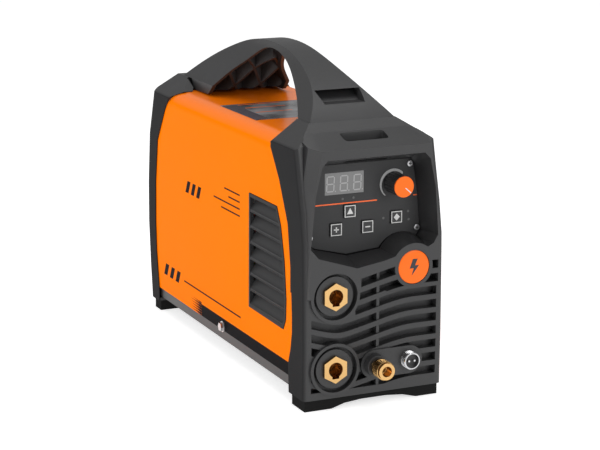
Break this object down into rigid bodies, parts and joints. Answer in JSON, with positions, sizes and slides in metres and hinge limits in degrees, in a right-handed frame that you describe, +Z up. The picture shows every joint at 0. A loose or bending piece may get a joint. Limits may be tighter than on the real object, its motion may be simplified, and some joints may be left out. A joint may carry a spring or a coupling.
{
  "type": "tig welding machine",
  "caption": "Portable inverter TIG welding machine in a bent sheet-metal cover with moulded end panels, arched carry handle, twist-lock sockets and gas coupler.",
  "frame": {"origin": "on the floor under the middle of the overall length and width", "axes": "+X to the right seen from the front, the front faces -Y, +Z up"},
  "size_m": [0.1364, 0.424, 0.291],
  "materials": {
    "dark_plastic": "satin moulded, fine grain",
    "orange_paint": "glossy powder coat",
    "black_steel": "black coated",
    "rubber": "matt",
    "bright_steel": "zinc plated",
    "panel_film": "textured film",
    "display_window": "smoked window",
    "key_plastic": "satin",
    "orange_plastic": "semi-gloss",
    "brass": "machined",
    "chrome": "polished",
    "board_green": "solder mask",
    "module_black": "moulded",
    "aluminium": "extruded",
    "copper": "copper, satin",
    "ferrite": "sintered"
  },
  "bodies": {
    "case": {"badge_disc": "orange_plastic", "base_tray": "black_steel", "board_posts": "bright_steel", "bus_bars": "copper", "cable_gland": "dark_plastic", "carry_handle": "dark_plastic", "case_screws": "bright_steel", "connector_insert": "dark_plastic", "connector_pins": "chrome", "connector_shell": "chrome", "control_board": "board_green", "control_plate": "panel_film", "coupler_collar": "dark_plastic", "cover_screws": "bright_steel", "display_module": "display_window", "earth_stud": "bright_steel", "fan_frame": "dark_plastic", "fan_guard": "black_steel", "fan_screws": "bright_steel", "front_foot": "rubber", "front_panel": "dark_plastic", "gas_coupler_body": "brass", "gas_hoses": "rubber", "gas_inlet": "brass", "gas_valve_body": "brass", "gas_valve_coil": "dark_plastic", "grille_filter": "black_steel", "heat_sinks": "aluminium", "ignition_coil": "module_black", "left_vent_grille": "dark_plastic", "lower_socket_body": "dark_plastic", "lower_socket_insert": "brass", "main_board": "board_green", "outer_cover": "orange_paint", "output_choke": "ferrite", "plate_screws": "black_steel", "potentiometer": "module_black", "power_modules": "module_black", "power_switch_body": "dark_plastic", "rear_foot": "rubber", "rear_nuts": "bright_steel", "rear_panel": "dark_plastic", "right_vent_grille": "dark_plastic", "storage_capacitors": "aluminium", "transformer_core": "ferrite", "transformer_winding": "copper", "upper_socket_body": "dark_plastic", "upper_socket_insert": "brass"},
    "control_knob": {"knob": "dark_plastic", "knob_cap": "orange_plastic", "control_shaft": "bright_steel"},
    "up_key": {"up_button": "key_plastic"},
    "plus_key": {"plus_button": "key_plastic"},
    "minus_key": {"minus_button": "key_plastic"},
    "mode_key": {"mode_button": "key_plastic"},
    "rocker": {"power_switch_rocker": "module_black"},
    "coupler_sleeve": {"gas_coupler_sleeve": "brass"},
    "coupler_poppet": {"gas_coupler_poppet": "brass"},
    "fan": {"fan_rotor": "dark_plastic"},
    "valve_plunger": {"gas_valve_plunger": "bright_steel"}
  },
  "joints": [
    {"name": "up_key_press", "type": "slide", "parent": "case", "child": "up_key", "axis": [0, 1, 0], "range_m": [0, 0.0008], "stiffness_N_per_m": 1500, "springref_m": -0.0004},
    {"name": "plus_key_press", "type": "slide", "parent": "case", "child": "plus_key", "axis": [0, 1, 0], "range_m": [0, 0.0008], "stiffness_N_per_m": 1500, "springref_m": -0.0004},
    {"name": "minus_key_press", "type": "slide", "parent": "case", "child": "minus_key", "axis": [0, 1, 0], "range_m": [0, 0.0008], "stiffness_N_per_m": 1500, "springref_m": -0.0004},
    {"name": "mode_key_press", "type": "slide", "parent": "case", "child": "mode_key", "axis": [0, 1, 0], "range_m": [0, 0.0008], "stiffness_N_per_m": 1500, "springref_m": -0.0004},
    {"name": "knob_turn", "type": "hinge", "parent": "case", "child": "control_knob", "pos_m": [0.028, -0.174, 0.188], "axis": [0, 1, 0], "range_deg": [-267, 3]},
    {"name": "rocker_tilt", "type": "hinge", "parent": "case", "child": "rocker", "pos_m": [-0.033, 0.187, 0.046], "axis": [1, 0, 0], "range_deg": [0, 16]},
    {"name": "sleeve_slide", "type": "slide", "parent": "case", "child": "coupler_sleeve", "axis": [0, 1, 0], "range_m": [0, 0.003], "stiffness_N_per_m": 2500, "springref_m": -0.002},
    {"name": "poppet_slide", "type": "slide", "parent": "case", "child": "coupler_poppet", "axis": [0, 1, 0], "range_m": [0, 0.0025], "stiffness_N_per_m": 600, "springref_m": -0.001},
    {"name": "fan_spin", "type": "hinge", "parent": "case", "child": "fan", "pos_m": [0, 0.174, 0.118], "axis": [0, 1, 0], "continuous": true},
    {"name": "plunger_lift", "type": "slide", "parent": "case", "child": "valve_plunger", "axis": [0, 0, 1], "range_m": [0, 0.0015], "stiffness_N_per_m": 400, "springref_m": -0.002}
  ]
}
